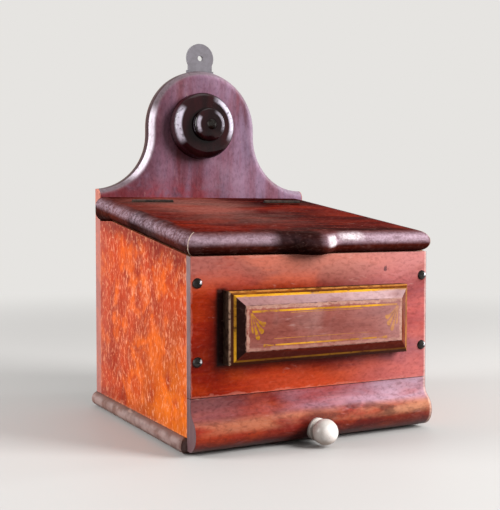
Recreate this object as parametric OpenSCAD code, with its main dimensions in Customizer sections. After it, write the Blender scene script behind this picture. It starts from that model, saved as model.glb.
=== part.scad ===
// Wall or table salt box: a sloping lid on a fixed rail over the salt, and a small drawer below it.
// Millimetres. X runs to the right, Y to the wall, Z up. The origin is the middle of the underside.

/* [Case] */
// Width over the two sides
box_w = 200; // [170:1:240]
// Depth from the face of the front board to the wall
box_d = 200; // [180:1:240]
// Height of the sides at the front, above the table
front_h = 137; // [115:1:170]
// Thickness of each side
side_t = 11; // [9:0.5:15]
// Thickness of the front board
front_t = 6; // [5:0.5:9]
// Thickness of the back board
back_t = 12; // [10:0.5:16]
// Thickness of the bottom board
base_t = 12; // [9:0.5:16]
// How far the rounded edge of the bottom board stands out past each side
base_out = 4.5; // [2:0.5:7]
// Height of the lower edge of the front board, above the table
drawer_top = 40; // [36:1:52]
// Thickness of the floor under the salt
floor_t = 8; // [6:0.5:12]
// Depth of the housing in each side that holds that floor
housing = 4; // [2:0.5:6]

/* [Crest] */
// Radius of the round top of the back board
crest_r = 52; // [44:0.5:60]
// Height of the middle of the round top
crest_h = 242; // [225:1:265]
// Length of the straight neck under the round top
crest_neck = 5.5; // [2:0.5:12]
// Radius of the hollow curve that runs down to each shoulder
flank_r = 49; // [42:0.5:54]
// Round on the front edge of the crest
crest_round = 7; // [2:0.5:8]
// Sideways place of the crest, which was sawn a little off the middle
crest_x = -2; // [-6:0.5:6]

/* [Lid] */
// Slope of the lid in degrees
lid_slope = 8.2; // [5:0.1:12]
// Thickness of the lid and of the rail behind it
lid_t = 16; // [13:0.5:20]
// How far the lid would stand out past each side if it sat in the middle
lid_over = 2; // [1:0.5:6]
// Sideways place of the lid and its rail, which sit a little off the middle
lid_x = -2; // [-4:0.5:4]
// How far the lid stands out past the front board
lid_front = 4; // [2:0.5:8]
// Gap under the closed lid
lid_gap = 0.2; // [0.1:0.05:0.5]
// Depth of the fixed rail between the lid and the back board
rail_d = 29; // [24:0.5:36]
// Radius of the thumb lift in the middle of the front edge
lift_r = 24; // [18:0.5:32]
// How far the thumb lift stands out from the edge of the lid
lift_out = 9; // [5:0.5:12]
// Radius of the hollow curve at each end of the thumb lift
lift_hollow = 12; // [8:0.5:16]
// Sideways place of the thumb lift
lift_x = -4; // [-8:0.5:8]

/* [Hinges] */
// Length of each hinge
hinge_l = 36; // [30:1:48]
// Place of each hinge, as a share of the way from the middle of the lid to its end
hinge_share = 0.61; // [0.45:0.01:0.65]
// Height of a hinge leaf below the top of the boards
leaf_h = 12; // [10:0.5:12.5]
// Thickness of a hinge leaf
leaf_t = 1.2; // [1:0.1:1.6]
// Diameter of the knuckles
knuckle_d = 3.8; // [3.6:0.1:4.6]
// Diameter of the hinge pin
hinge_pin_d = 1.8; // [1.4:0.1:2]
// Clearance round the hinge pin
pin_fit = 0.05; // [0.02:0.01:0.08]
// Gap between the lid and the rail
joint_gap = 0.8; // [0.6:0.1:1.2]
// Height of the middle of the hinge pin above the boards
pin_rise = 0.2; // [0.1:0.05:0.8]

/* [Boss] */
// Diameter of the turned boss
boss_d = 58; // [48:1:68]
// Height of the middle of the boss above the table
boss_h = 244; // [236:1:252]
// Sideways place of the boss
boss_x = -6.5; // [-8:0.5:4]
// Height of the straight wall of the boss
boss_wall = 8.3; // [6:0.1:9]
// Radius of the round edge above that wall
boss_edge = 7; // [5:0.5:8]
// Height to which the dome of the boss would rise in the middle, under the button
boss_dome = 17.5; // [16.5:0.5:19]
// Diameter of the button on the boss
button_d = 29; // [24:0.5:33]
// How far the button stands out from the back board
boss_out = 26; // [24:0.5:28]
// Radius of the round edge of the button
button_edge = 3.2; // [2.4:0.1:3.6]
// Depth of the groove between dome and button
button_groove = 1.4; // [0.8:0.1:2.5]
// How deep the screw of the boss goes into the back board
boss_screw_in = 9; // [6:0.5:9]

/* [Hanging plate] */
// Diameter of the round head of the plate
plate_d = 26; // [22:0.5:32]
// Height of the hole above the table
plate_hole_h = 306.2; // [302:0.2:312]
// Diameter of the hole for the wall hook
plate_hole_d = 5; // [4:0.5:7]
// Thickness of the plate
plate_t = 2.5; // [1.5:0.1:4]
// Width of the waist below the round head
plate_waist = 23; // [18:0.5:24]
// Height of the tail behind the back board
plate_tail = 34; // [28:1:46]
// How far the shoulder of the hanging plate stands above the crest
plate_flare = 1; // [0.5:0.1:2]
// Sideways place of the plate
plate_x = -1.5; // [-5:0.5:5]

/* [Name block] */
// Width of the block on the front
block_w = 150.2; // [120:0.2:160]
// Height of the block
block_h = 51.2; // [40:0.1:56]
// Height of the lower edge of the block above the table
block_low = 62; // [58:0.1:70]
// How far the outer edge of the block stands out
rim_out = 8.9; // [6:0.1:10]
// How far the inner edge of the rim stands out
rim_crown = 12; // [10.5:0.1:12.5]
// How far the raised field stands out
field_out = 16; // [13:0.1:20]
// Width of the sloping rim
rim_w = 3; // [2:0.1:5]
// Width of the bevel between rim and field
bevel_w = 7.1; // [4:0.1:9]

/* [Drawer] */
// Gap between the drawer and the boards round it
drawer_fit = 0.5; // [0.3:0.05:1]
// Gap between the back of the drawer front and the case
drawer_rest = 0.3; // [0.2:0.05:0.6]
// Height of the lower edge of the drawer front above the table
drawer_low = 3; // [1.5:0.5:5]
// Radius of the hollow of the drawer front
cove_r = 11; // [9:0.5:12]
// Height of the upper end of the hollow above the table
cove_h = 33.5; // [32:0.5:35]
// Radius of the roll under the hollow
roll_r = 13; // [12:0.5:14]
// Height of the middle of the roll above the table
roll_h = 15.1; // [14:0.1:16.5]
// Thickness of the drawer sides and back
drawer_t = 6; // [5:0.5:8]
// Thickness of the drawer bottom
drawer_base_t = 4; // [3:0.5:5]
// Height of the drawer bottom above the lower edge of the drawer sides
drawer_base_up = 3; // [2:0.5:5]
// Depth of the grooves and housings in the drawer
drawer_groove = 2.5; // [1.5:0.5:3]
// Gap behind the drawer
drawer_behind = 8; // [4:1:20]
// Depth of the housings for the drawer sides, in the back of the drawer front
front_housing = 2.5; // [1.5:0.5:3]

/* [Knob] */
// Diameter of the ball of the knob
knob_d = 18.6; // [15:0.2:19]
// Diameter of the collar of the knob
knob_collar_d = 16.5; // [13:0.5:18]
// Thickness of the collar
knob_collar_t = 4; // [3:0.5:6]
// Diameter of the neck between collar and ball
knob_neck_d = 11; // [9:0.5:13]
// Distance from the back of the collar to the middle of the ball
knob_reach = 12.6; // [12:0.1:15]
// Depth of the seat that is cut for the collar
knob_seat = 1.6; // [1:0.1:2.2]
// Height of the middle of the knob above the table
knob_h = 10.9; // [10.9:0.1:13]
// Sideways place of the knob
knob_x = -3.5; // [-8:0.5:8]
// Diameter of the iron stud in the knob
stud_d = 4; // [3:0.5:5]

/* [Screws and nails] */
// Diameter of the round heads on the front board
round_head_d = 7.4; // [6:0.1:9]
// Height of the round heads
round_head_h = 2.6; // [2:0.1:3.2]
// Diameter of the shank of the round-headed screws
round_shank_d = 3.4; // [2.8:0.1:4]
// Length of the round-headed screws under the head
round_screw_l = 22; // [16:1:30]
// Height of the upper screws below the top of the sides
upper_screw_drop = 18.2; // [14:0.2:24]
// Height of the lower screws above the lower edge of the front board
lower_screw_rise = 24.7; // [18:0.1:34]
// Diameter of the head of a hinge screw
small_head_d = 4.4; // [3.8:0.1:5]
// Diameter of the shank of a hinge screw
small_shank_d = 2.2; // [1.8:0.1:2.6]
// Length of a hinge screw
small_screw_l = 11; // [8:0.5:14]
// Diameter of the heads of the screws that hold the rail
rail_head_d = 6.6; // [5.6:0.1:7.6]
// Diameter of the shank of the rail screws
rail_shank_d = 3.3; // [2.6:0.1:4]
// Length of the rail screws
rail_screw_l = 29; // [22:1:34]
// Diameter of the head of the screw in the boss
boss_head_d = 9; // [7:0.5:11]
// Diameter of the shank of the screw in the boss
boss_shank_d = 4; // [3:0.5:5]
// Diameter of the nails
nail_d = 1.8; // [1.4:0.1:2.4]
// Diameter of the nail heads
nail_head_d = 3.2; // [2.6:0.1:4]
// Length of the case nails
nail_l = 26; // [20:1:34]
// Length of the nails in the drawer
drawer_nail_l = 13; // [9:0.5:16]
// How deep the stud of the knob goes into the drawer front
stud_in = 8; // [5:0.5:9]
// Clearance of glued, screwed and nailed joints
glue_fit = 0.05; // [0.02:0.01:0.1]

/* [Hidden] */
$fn = 72;

// Places along the depth of the box
y_face = -box_d / 2;
y_wall = box_d / 2;
y_sides = y_face + front_t;
y_back = y_wall - back_t;
y_seat = y_back - rail_d;

// Widths
half_w = box_w / 2;
half_in = half_w - side_t;
half_lid = half_w + lid_over;

// The slope that the lid lies on: level seats carry the rail behind it
slope_l = (y_seat - y_face) / cos(lid_slope);
seat_h = front_h + (y_seat - y_face) * tan(lid_slope);
lid_top = lid_gap + lid_t;
lid_back = slope_l - joint_gap / 2;
rail_front = slope_l + joint_gap / 2;
pin_n = lid_top + pin_rise;
far = 300;

// Salt floor and drawer bay
floor_low = drawer_top;
floor_top = drawer_top + floor_t;

// Drawer
dr_half = half_in - drawer_fit;
dr_low = base_t + drawer_rest;
dr_high = drawer_top - drawer_fit;
dr_front_back = y_sides - drawer_rest;
dr_back = y_back - drawer_behind;
dr_floor = dr_low + drawer_base_up;
dr_floor_top = dr_floor + drawer_base_t;
bottom_half = dr_half - drawer_t + drawer_groove;

// Moulded drawer front: a hollow above a roll, each touching the other
cove_c = [y_face - cove_r, cove_h];
roll_c = [y_face - cove_r + sqrt(pow(cove_r + roll_r, 2) - pow(cove_h - roll_h, 2)), roll_h];
y_knob_seat = roll_c[0] - sqrt(pow(roll_r, 2) - pow(knob_h - roll_h, 2)) + knob_seat;

// Turned boss: the dome and the button each end in a round edge that the cap above touches
boss_r = boss_d / 2;
edge_c = [boss_r - boss_edge, boss_wall];
boss_seat = 0.6;
button_lift = button_groove * 0.6;
dome_at_groove = arc_height(edge_c, boss_edge, boss_dome, button_d / 2 - button_groove);
button_c = [button_d / 2 - button_edge, dome_at_groove + button_lift + button_edge];
boss_seat_h = boss_out - boss_seat;

// Crest
crest_top = crest_h + crest_r;
neck_low = crest_h - crest_neck;
flank_x = crest_r + flank_r;
shoulder_h = neck_low - flank_r;

// Small fittings
wood = "#6e2315";
dark_wood = "#3a120c";
bright_wood = "#9a3a1c";
pale_wood = "#8a5a3a";
black_wood = "#1c0a08";
zinc = "#9a9690";
bone = "#e9e2d4";
iron = "#26211f";
brass = "#7a6438";
knuckle_gap = 0.15;
knuckle_room = 0.4;
mortise_fit = 0.1;
slot_w = 1;
slot_depth = 1.1;
flat_slot_depth = 0.7;
boss_slot_turn = 20;
back_nail_edge = 15;
base_nail_places = [0.1, 0.5, 0.82];
rail_screw_spread = 0.7;
front_screw_edges = [5.5, 4.3];
block_screw_spread = 0.34;
plate_screw_rows = [0.36, 0.82];
plate_screw_spread = 0.24;
plate_screw_l = small_screw_l - 2;
leaf_screw_drop = 0.55;
drawer_nail_rows = [-5, 5];
drawer_nail_spread = 0.6;
screw_tip = 2.5;

// Frames: one leans with the lid, the others turn a fitting's +Z to the front, the wall or the table
module on_slope() { translate([0, y_face, front_h]) rotate([lid_slope, 0, 0]) children(); }
module to_front(p) { translate(p) rotate([90, 0, 0]) children(); }
module to_wall(p) { translate(p) rotate([-90, 0, 0]) children(); }
module to_table(p) { translate(p) rotate([180, 0, 0]) children(); }

// Sweeps: a profile drawn across X, or a profile drawn along the depth
module along_depth(y_end, l) { translate([0, y_end, 0]) rotate([90, 0, 0]) linear_extrude(l) children(); }
module across(x_start, l) { translate([x_start, 0, 0]) rotate([90, 0, 90]) linear_extrude(l) children(); }

// Block between two corners
module slab(low, high) { translate(low) cube(high - low); }

// A screw points down from its seat at z = 0, with its head above
module shank(d, l) {
    translate([0, 0, -l + screw_tip]) cylinder(d = d, h = l - screw_tip);
    translate([0, 0, -l]) cylinder(d1 = d / 4, d2 = d, h = screw_tip);
}
module slot_cut(d, floor_h) { translate([-d, -slot_w / 2, floor_h]) cube([2 * d, slot_w, far]); }
module round_screw(head_d, head_h, shank_d, l) {
    ball_r = (pow(head_d / 2, 2) + pow(head_h, 2)) / (2 * head_h);
    difference() {
        intersection() {
            translate([0, 0, head_h - ball_r]) sphere(r = ball_r);
            cylinder(d = head_d, h = head_h + 1);
        }
        slot_cut(head_d, head_h - slot_depth);
    }
    shank(shank_d, l);
}
module flat_screw(head_d, shank_d, l) {
    head_h = (head_d - shank_d) / 2;
    difference() {
        translate([0, 0, -head_h]) cylinder(d1 = shank_d, d2 = head_d, h = head_h);
        slot_cut(head_d, -flat_slot_depth);
    }
    translate([0, 0, -head_h]) shank(shank_d, l - head_h);
}
module flat_screw_hole(head_d, shank_d, l) {
    head_h = (head_d - shank_d) / 2;
    hole_d = shank_d + 2 * glue_fit;
    mouth_d = head_d + 2 * glue_fit;
    translate([0, 0, -head_h]) cylinder(d1 = hole_d, d2 = mouth_d, h = head_h);
    cylinder(d = mouth_d, h = 1);
    translate([0, 0, -l - glue_fit]) cylinder(d = hole_d, h = l);
}
module drilled(d, l) {
    translate([0, 0, -l - glue_fit]) cylinder(d = d + 2 * glue_fit, h = l + glue_fit + 1);
}
module nail(l) {
    translate([0, 0, -1]) cylinder(d = nail_head_d, h = 1);
    translate([0, 0, -l]) cylinder(d = nail_d, h = l);
}
module nail_hole(l) {
    translate([0, 0, -1 - glue_fit]) cylinder(d = nail_head_d + 2 * glue_fit, h = 2);
    translate([0, 0, -l - glue_fit]) cylinder(d = nail_d + 2 * glue_fit, h = l);
}

// Places of the fastenings, each used by the fastening and by every board that it passes
module at_front_screws() {
    xs = [-half_w + front_screw_edges[0], half_w - front_screw_edges[1]];
    z_up = front_h - upper_screw_drop;
    z_low = drawer_top + lower_screw_rise;
    for (x = xs, z = [z_low, z_up]) to_front([x, y_face, z]) children();
}
module at_back_nails() {
    x = half_w - side_t / 2;
    zs = [base_t + back_nail_edge, (base_t + seat_h) / 2, seat_h - back_nail_edge];
    for (sx = [-1, 1], z = zs) to_wall([sx * x, y_wall, z]) children();
}
module at_base_nails() {
    x = half_w - side_t / 2;
    for (sx = [-1, 1], f = base_nail_places)
        to_table([sx * x, y_sides + f * (y_wall - y_sides), 0]) children();
}
module at_rail_screws() {
    z = seat_h + lid_t / 2;
    for (sx = [-1, 0, 1]) to_wall([lid_x + sx * half_lid * rail_screw_spread, y_wall, z]) children();
}
module at_block_screws() {
    z = block_low + block_h / 2;
    for (sx = [-1, 1]) to_wall([sx * block_w * block_screw_spread, y_sides, z]) children();
}
module at_plate_screws() {
    x = plate_d * plate_screw_spread;
    for (f = plate_screw_rows, sx = [-1, 1])
        to_wall([plate_x + sx * x, y_wall, crest_top - f * plate_tail]) children();
}
module at_drawer_side_nails() {
    z_mid = (dr_floor_top + dr_high) / 2;
    for (sx = [-1, 1], dz = drawer_nail_rows)
        translate([sx * dr_half, dr_back - drawer_t / 2, z_mid + dz]) rotate([0, sx * 90, 0]) children();
}
module at_drawer_base_nails() {
    x = dr_half * drawer_nail_spread;
    for (sx = [-1, 0, 1]) to_table([sx * x, dr_back - drawer_t / 2, dr_floor]) children();
}
module at_leaf_screws(side) {
    for (f = [-1 / 3, 0, 1 / 3])
        translate([f * hinge_l, side * joint_gap / 2, -pin_rise - leaf_h * leaf_screw_drop])
            rotate([side * 90, 0, 0]) children();
}
module at_hinge(sx) {
    on_slope() translate([lid_x + sx * hinge_share * half_lid, slope_l, pin_n]) children();
}

// Outline of the back board, seen from the front
module back_outline() {
    translate([-half_w, base_t]) square([2 * half_w, shoulder_h - base_t]);
    intersection() {
        translate([-half_w, base_t]) square([2 * half_w, neck_low - base_t]);
        difference() {
            translate([crest_x - flank_x, base_t]) square([2 * flank_x, neck_low - base_t]);
            for (sx = [-1, 1]) translate([crest_x + sx * flank_x, neck_low]) circle(r = flank_r);
        }
    }
    translate([crest_x - crest_r, neck_low - 1]) square([2 * crest_r, crest_neck + 1]);
    translate([crest_x, crest_h]) circle(r = crest_r);
}

// What the rounded front edge takes off the crest: round top, straight neck, hollow flanks, shoulders
module round_waste() {
    difference() {
        square([crest_round + 1, crest_round]);
        translate([0, crest_round]) circle(r = crest_round);
    }
}
module arc_about(x, z, from, sweep) {
    translate([x, y_back, z]) rotate([-90, 0, 0]) rotate([0, 0, from])
        rotate_extrude(angle = sweep) children();
}
module crest_waste() {
    translate([crest_x, 0, 0]) {
        arc_about(0, crest_h, 180, 180) translate([crest_r - crest_round, 0]) round_waste();
        for (mx = [0, 1]) mirror([mx, 0, 0]) {
            translate([crest_r - crest_round, y_back, neck_low]) linear_extrude(crest_neck) round_waste();
            arc_about(flank_x, neck_low, 90, 90)
                translate([flank_r + crest_round, 0]) mirror([1, 0]) round_waste();
            across(flank_x, far) translate([y_back, shoulder_h - crest_round]) mirror([1, -1])
                round_waste();
        }
    }
}

// Outline of the hanging plate: round head, waist, and a tail behind the board
module plate_outline(grow) {
    tail_top = crest_top + plate_flare;
    tail_low = crest_top - plate_tail;
    translate([plate_x, plate_hole_h]) circle(d = plate_d + 2 * grow);
    translate([plate_x - plate_waist / 2 - grow, tail_top])
        square([plate_waist + 2 * grow, plate_hole_h - tail_top]);
    translate([plate_x - plate_d / 2 - grow, tail_low - grow])
        square([plate_d + 2 * grow, tail_top - tail_low + grow]);
}

module backboard() {
    color(wood) difference() {
        along_depth(y_wall, back_t) back_outline();
        crest_waste();
        translate([0, y_wall + 1, 0]) rotate([90, 0, 0]) linear_extrude(plate_t + 1 + glue_fit)
            plate_outline(mortise_fit);
        at_plate_screws() flat_screw_hole(small_head_d, small_shank_d, plate_screw_l);
        at_back_nails() nail_hole(nail_l);
        at_rail_screws() flat_screw_hole(rail_head_d, rail_shank_d, rail_screw_l);
        to_front([boss_x, y_back, boss_h]) drilled(boss_shank_d, boss_screw_in);
    }
}

module side_profile() {
    polygon([
        [y_sides, base_t], [y_back - glue_fit, base_t], [y_back - glue_fit, seat_h], [y_seat, seat_h],
        [y_sides, front_h + (y_sides - y_face) * tan(lid_slope)]
    ]);
}
module case_side(sx) {
    x_low = sx < 0 ? -half_w : half_in;
    difference() {
        across(x_low, side_t) side_profile();
        // housing for the floor under the salt
        mirror([sx < 0 ? 1 : 0, 0, 0])
            slab([half_in - 1, y_sides - 1, floor_low - glue_fit],
                 [half_in + housing + glue_fit, y_back, floor_top + glue_fit]);
        at_front_screws() drilled(round_shank_d, round_screw_l);
        at_back_nails() nail_hole(nail_l);
        at_base_nails() nail_hole(nail_l + base_t);
    }
}
module left_side() { color(bright_wood) case_side(-1); }
module right_side() { color(bright_wood) case_side(1); }

module front_board() {
    z_back = front_h + front_t * tan(lid_slope);
    color(wood) difference() {
        across(-half_w, box_w) polygon([
            [y_face, drawer_top], [y_sides, drawer_top], [y_sides, z_back], [y_face, front_h]
        ]);
        at_front_screws() drilled(round_shank_d, round_screw_l);
        at_block_screws() flat_screw_hole(small_head_d, small_shank_d, small_screw_l);
    }
}

// Bottom board: half-round along both sides and the front
module edge_round(l) {
    translate([base_t / 2, 0]) square([l - base_t, base_t]);
    translate([base_t / 2, base_t / 2]) circle(d = base_t);
    translate([l - base_t / 2, base_t / 2]) circle(d = base_t);
}
module bottom_board() {
    w = box_w + 2 * base_out;
    color(dark_wood) difference() {
        intersection() {
            along_depth(y_wall, y_wall - y_sides) translate([-w / 2, 0]) edge_round(w);
            across(-w / 2, w) translate([y_sides, 0]) edge_round(y_wall - y_sides + base_t);
        }
        at_base_nails() nail_hole(nail_l + base_t);
    }
}

module salt_floor() {
    x = half_in + housing;
    color(wood) slab([-x, y_sides, floor_low], [x, y_back - glue_fit, floor_top]);
}

// Ends of the rail: the upper round runs on from the lid, the lower one is level with the seat
module upper_round(half, top, r) {
    translate([-half, -far]) square([2 * half, far + top - r]);
    translate([-half + r, -far]) square([2 * (half - r), far + top]);
    for (sx = [-1, 1]) translate([sx * (half - r), top - r]) circle(r = r);
}
module hinge_mortise(side) {
    half_l = hinge_l / 2 + mortise_fit;
    deep = joint_gap / 2 + leaf_t + mortise_fit;
    low = -pin_rise - leaf_h - mortise_fit;
    slab([-half_l, side < 0 ? -deep : 0, low], [half_l, side < 0 ? 0 : deep, knuckle_d]);
    translate([-hinge_l / 2 - knuckle_room, 0, 0]) rotate([0, 90, 0])
        cylinder(d = knuckle_d + 2 * knuckle_room, h = hinge_l + 2 * knuckle_room);
    at_leaf_screws(side) drilled(small_shank_d, small_screw_l);
}
module hinge_rail() {
    r = lid_t / 2;
    color(dark_wood) difference() {
        intersection() {
            on_slope() slab([-far, rail_front, -far], [far, far, lid_top]);
            on_slope() along_depth(far, 2 * far) translate([lid_x, 0]) upper_round(half_lid, lid_top, r);
            slab([-far, y_face, seat_h], [far, y_back - glue_fit, seat_h + far]);
            translate([lid_x, 0, seat_h]) along_depth(far, 2 * far) mirror([0, 1])
                upper_round(half_lid, 0, r);
        }
        for (sx = [-1, 1]) at_hinge(sx) hinge_mortise(1);
        at_rail_screws() flat_screw_hole(rail_head_d, rail_shank_d, rail_screw_l);
    }
}

// Lid: half-round along the front and both ends, with a thumb lift
module half_round(l) {
    translate([lid_t / 2, 0]) square([l - lid_t, lid_t]);
    translate([lid_t / 2, lid_t / 2]) circle(d = lid_t);
    translate([l - lid_t / 2, lid_t / 2]) circle(d = lid_t);
}
module lift() {
    r_edge = lid_t / 2;
    depth_in = lift_r - lift_out;
    reach = sqrt(pow(lift_r + lift_hollow, 2) - pow(depth_in + lift_hollow, 2));
    touch = lift_hollow / (lift_r + lift_hollow);
    hollow_y = -lift_hollow;
    touch_x = reach * (1 - touch);
    touch_y = hollow_y + (depth_in + lift_hollow) * touch;
    translate([0, depth_in, lid_t / 2]) rotate([0, 0, 180]) rotate_extrude() intersection() {
        union() {
            translate([lift_r - r_edge, 0]) circle(r = r_edge);
            translate([0, -r_edge]) square([lift_r - r_edge, lid_t]);
        }
        translate([0, -far]) square([far, 2 * far]);
    }
    difference() {
        linear_extrude(lid_t) polygon([
            [-reach, r_edge], [-reach, 0], [-touch_x, touch_y], [0, depth_in],
            [touch_x, touch_y], [reach, 0], [reach, r_edge]
        ]);
        for (sx = [-1, 1]) translate([sx * reach, hollow_y, lid_t / 2]) rotate_extrude() difference() {
            translate([0, -r_edge - 1]) square([lift_hollow + r_edge, lid_t + 2]);
            translate([lift_hollow + r_edge, 0]) circle(r = r_edge);
        }
    }
}
module lid_board() {
    l = lid_back + lid_front;
    color(dark_wood) difference() {
        on_slope() translate([0, 0, lid_gap]) {
            intersection() {
                along_depth(lid_back, l) translate([lid_x - half_lid, 0]) half_round(2 * half_lid);
                across(lid_x - half_lid, 2 * half_lid) translate([-lid_front, 0]) half_round(l + lid_t);
            }
            translate([lift_x, -lid_front, 0]) lift();
        }
        for (sx = [-1, 1]) at_hinge(sx) hinge_mortise(-1);
    }
}

// Hinges: the leaf on the rail has the two outer knuckles, the leaf on the lid the middle one
module knuckles(xs, x_l) {
    for (x = xs) translate([x, 0, 0]) rotate([0, 90, 0]) cylinder(d = knuckle_d, h = x_l);
}
module leaf(side) {
    third = hinge_l / 3;
    s_face = side * joint_gap / 2;
    s_low = side < 0 ? s_face - leaf_t : s_face;
    own = side > 0 ? [-hinge_l / 2, hinge_l / 2 - third + knuckle_gap] : [-third / 2 + knuckle_gap];
    own_l = side > 0 ? third - knuckle_gap : third - 2 * knuckle_gap;
    others = side > 0 ? [-third / 2 - knuckle_gap] : [-hinge_l / 2 - 1, hinge_l / 2 - third - knuckle_gap];
    other_l = side > 0 ? third + 2 * knuckle_gap : third + 1 + knuckle_gap;
    difference() {
        union() {
            translate([-hinge_l / 2, s_low, -pin_rise - leaf_h]) cube([hinge_l, leaf_t, leaf_h + pin_rise]);
            knuckles(own, own_l);
        }
        for (x = others) translate([x, 0, 0]) rotate([0, 90, 0])
            cylinder(d = knuckle_d + 2 * knuckle_gap, h = other_l);
        translate([-hinge_l, 0, 0]) rotate([0, 90, 0])
            cylinder(d = hinge_pin_d + 2 * pin_fit, h = 2 * hinge_l);
        at_leaf_screws(side) flat_screw_hole(small_head_d, small_shank_d, small_screw_l);
    }
}
module hinge_leaf(sx, side) { color(brass) at_hinge(sx) leaf(side); }
module left_rail_leaf() { hinge_leaf(-1, 1); }
module right_rail_leaf() { hinge_leaf(1, 1); }
module left_lid_leaf() { hinge_leaf(-1, -1); }
module right_lid_leaf() { hinge_leaf(1, -1); }
module hinge_pin(sx) {
    color(brass) at_hinge(sx) translate([-hinge_l / 2, 0, 0]) rotate([0, 90, 0])
        cylinder(d = hinge_pin_d, h = hinge_l);
}
module left_hinge_pin() { hinge_pin(-1); }
module right_hinge_pin() { hinge_pin(1); }
module leaf_screws(side) {
    color(brass) for (sx = [-1, 1]) at_hinge(sx) at_leaf_screws(side)
        flat_screw(small_head_d, small_shank_d, small_screw_l);
}
module rail_leaf_screws() { leaf_screws(1); }
module lid_leaf_screws() { leaf_screws(-1); }

// Block on the front: sloping rim, wide bevel, raised field
module bevelled(low, high) {
    field_in = rim_w + bevel_w;
    polygon([
        [low, 0], [low, rim_out], [low + rim_w, rim_crown], [low + field_in, field_out],
        [high - field_in, field_out], [high - rim_w, rim_crown], [high, rim_out], [high, 0]
    ]);
}
module name_block() {
    color(dark_wood) difference() {
        intersection() {
            translate([0, y_face, block_low]) linear_extrude(block_h) mirror([0, 1])
                bevelled(-block_w / 2, block_w / 2);
            translate([-block_w / 2, y_face, 0]) rotate([0, -90, 180]) linear_extrude(block_w)
                bevelled(block_low, block_low + block_h);
        }
        at_block_screws() flat_screw_hole(small_head_d, small_shank_d, small_screw_l);
    }
}
module name_block_screws() {
    color(iron) at_block_screws() flat_screw(small_head_d, small_shank_d, small_screw_l);
}
module front_board_screws() {
    color(iron) at_front_screws() round_screw(round_head_d, round_head_h, round_shank_d, round_screw_l);
}
module back_nails() { color(iron) at_back_nails() nail(nail_l); }
module base_nails() { color(iron) at_base_nails() nail(nail_l + base_t); }
module rail_screws() {
    color(iron) at_rail_screws() flat_screw(rail_head_d, rail_shank_d, rail_screw_l);
}

// Cap on an edge: an arc from the middle line, at the height top, that touches the round edge at c
function arc_centre(c, r, top) = (pow(c[0], 2) + pow(c[1], 2) - pow(top - r, 2)) / (2 * (c[1] - top + r));
function arc_height(c, r, top, x) =
    let (z = arc_centre(c, r, top)) z + sqrt(pow(top - z, 2) - pow(x, 2));
module cap(c, r, top) {
    z = arc_centre(c, r, top);
    arc_r = top - z;
    touch_x = c[0] * arc_r / (arc_r - r);
    translate(c) circle(r = r);
    square(c);
    intersection() {
        translate([0, z]) circle(r = arc_r);
        square([touch_x, far]);
    }
}
module boss() {
    color(black_wood) to_front([boss_x, y_back, boss_h]) difference() {
        rotate_extrude() {
            intersection() {
                cap(edge_c, boss_edge, boss_dome);
                square([boss_d, dome_at_groove]);
            }
            square([boss_r, boss_wall]);
            cap_above_groove();
        }
        translate([0, 0, -1]) cylinder(d = boss_shank_d + 2 * glue_fit, h = far);
        translate([0, 0, boss_seat_h]) cylinder(d = boss_head_d + 2 * glue_fit, h = far);
    }
}
module cap_above_groove() {
    intersection() {
        cap(button_c, button_edge, boss_out);
        translate([0, button_c[1] - button_edge]) square([boss_d, far]);
    }
    square([button_d / 2 - button_groove, button_c[1]]);
}
module boss_screw() {
    color(iron) to_front([boss_x, y_back, boss_h]) translate([0, 0, boss_seat_h])
        rotate([0, 0, boss_slot_turn])
            round_screw(boss_head_d, round_head_h, boss_shank_d, boss_seat_h + boss_screw_in);
}

module hanging_plate() {
    color(zinc) difference() {
        translate([0, y_wall, 0]) rotate([90, 0, 0]) linear_extrude(plate_t) plate_outline(0);
        to_wall([plate_x, y_wall, plate_hole_h]) translate([0, 0, -plate_t - 1])
            cylinder(d = plate_hole_d, h = plate_t + 2);
        at_plate_screws() flat_screw_hole(small_head_d, small_shank_d, plate_screw_l);
    }
}
module hanging_plate_screws() {
    color(iron) at_plate_screws() flat_screw(small_head_d, small_shank_d, plate_screw_l);
}

// Cross-section of each drawer side, inner face to outer face, on one side of the middle
function side_span(sx, grow) = sx < 0 ? [-dr_half - grow, -dr_half + drawer_t + grow]
                                      : [dr_half - drawer_t - grow, dr_half + grow];

// Drawer front: flat at the top, then a hollow and a roll
module drawer_front_profile() {
    intersection() {
        union() {
            translate([y_face, drawer_low]) square([dr_front_back - y_face, dr_high - drawer_low]);
            difference() {
                polygon([
                    [y_face, cove_h], cove_c, roll_c, [dr_front_back, roll_h], [dr_front_back, cove_h]
                ]);
                translate(cove_c) circle(r = cove_r);
            }
            translate(roll_c) circle(r = roll_r);
        }
        translate([-far, drawer_low]) square([far + dr_front_back, dr_high - drawer_low]);
    }
}
module drawer_front() {
    color(wood) difference() {
        across(-half_w, box_w) drawer_front_profile();
        // housings for the drawer sides
        for (sx = [-1, 1]) slab(
            [side_span(sx, glue_fit)[0], dr_front_back - front_housing - glue_fit, dr_low - glue_fit],
            [side_span(sx, glue_fit)[1], y_sides, dr_high + 1]);
        // groove for the drawer bottom
        slab([-bottom_half - glue_fit, dr_front_back - drawer_groove - glue_fit, dr_floor - glue_fit],
             [bottom_half + glue_fit, y_sides, dr_floor_top + glue_fit]);
        // seat for the knob and hole for its stud
        to_front([knob_x, y_knob_seat, knob_h]) {
            cylinder(d = knob_collar_d + 2 * glue_fit, h = far);
            drilled(stud_d, stud_in);
        }
    }
}
module drawer_side(sx) {
    color(pale_wood) difference() {
        slab([side_span(sx, 0)[0], dr_front_back - front_housing, dr_low],
             [side_span(sx, 0)[1], dr_back, dr_high]);
        mirror([sx < 0 ? 1 : 0, 0, 0]) slab(
            [dr_half - drawer_t - 1, y_face, dr_floor - glue_fit],
            [bottom_half + glue_fit, y_wall, dr_floor_top + glue_fit]);
        at_drawer_side_nails() nail_hole(drawer_nail_l);
    }
}
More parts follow.
